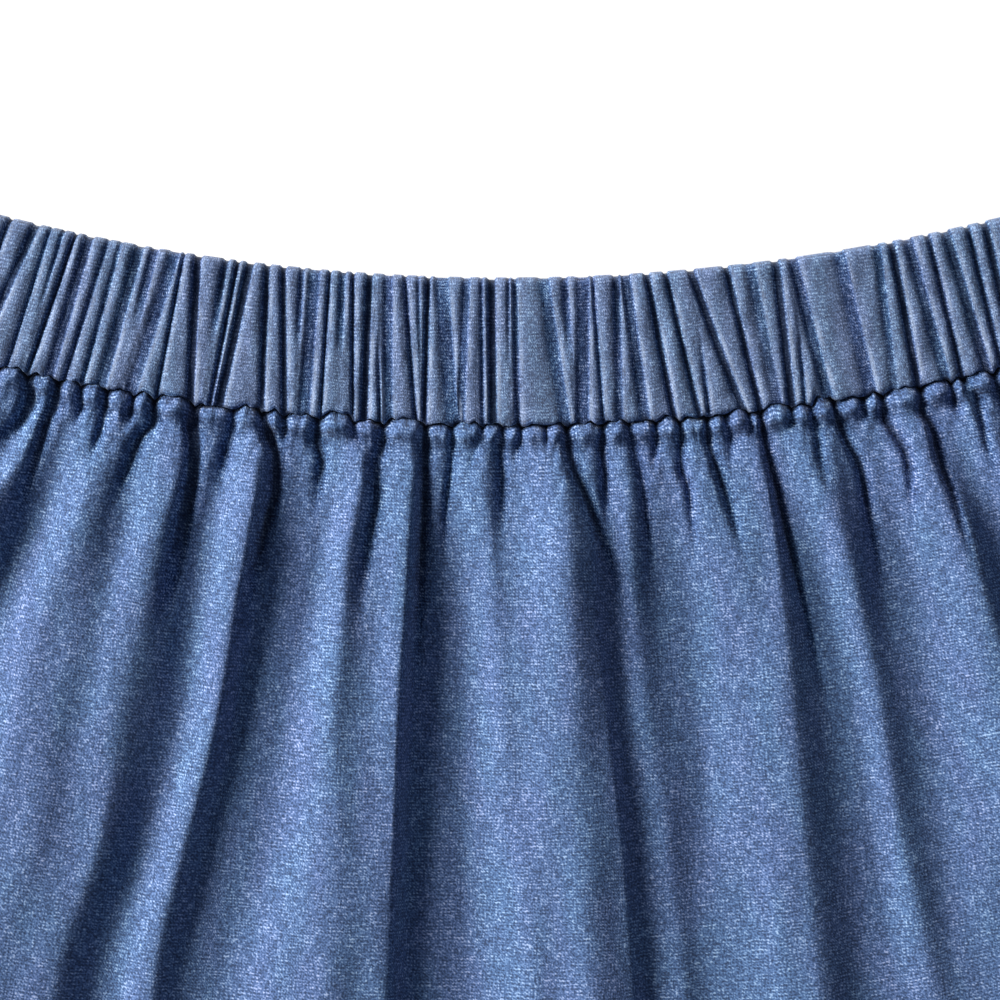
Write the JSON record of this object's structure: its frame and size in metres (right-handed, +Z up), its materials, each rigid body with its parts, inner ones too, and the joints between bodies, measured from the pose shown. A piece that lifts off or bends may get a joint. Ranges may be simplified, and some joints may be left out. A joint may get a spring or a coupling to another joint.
{
  "type": "maxi skirt",
  "caption": "Long flared skirt with a gathered elastic waistband, laid flat with its front up and its folds running from the waist to a plain hem.",
  "frame": {"origin": "centre of the laid-out skirt's bounding box, on the surface it lies on", "axes": "+Z up out of the surface, through the back to the front; +Y from the hem to the waist; +X to the right as one looks at the front"},
  "size_m": [0.8756, 0.9456, 0.0152],
  "materials": {
    "denim": "matt light-blue washed denim in a plain heathered weave",
    "waistband_denim": "matt light-blue washed denim, gathered on elastic, worn paler on its pleats"
  },
  "bodies": {
    "root": {"front_panel": "denim", "back_panel": "denim", "waistband_front": "waistband_denim", "waistband_back": "waistband_denim"}
  },
  "joints": []
}
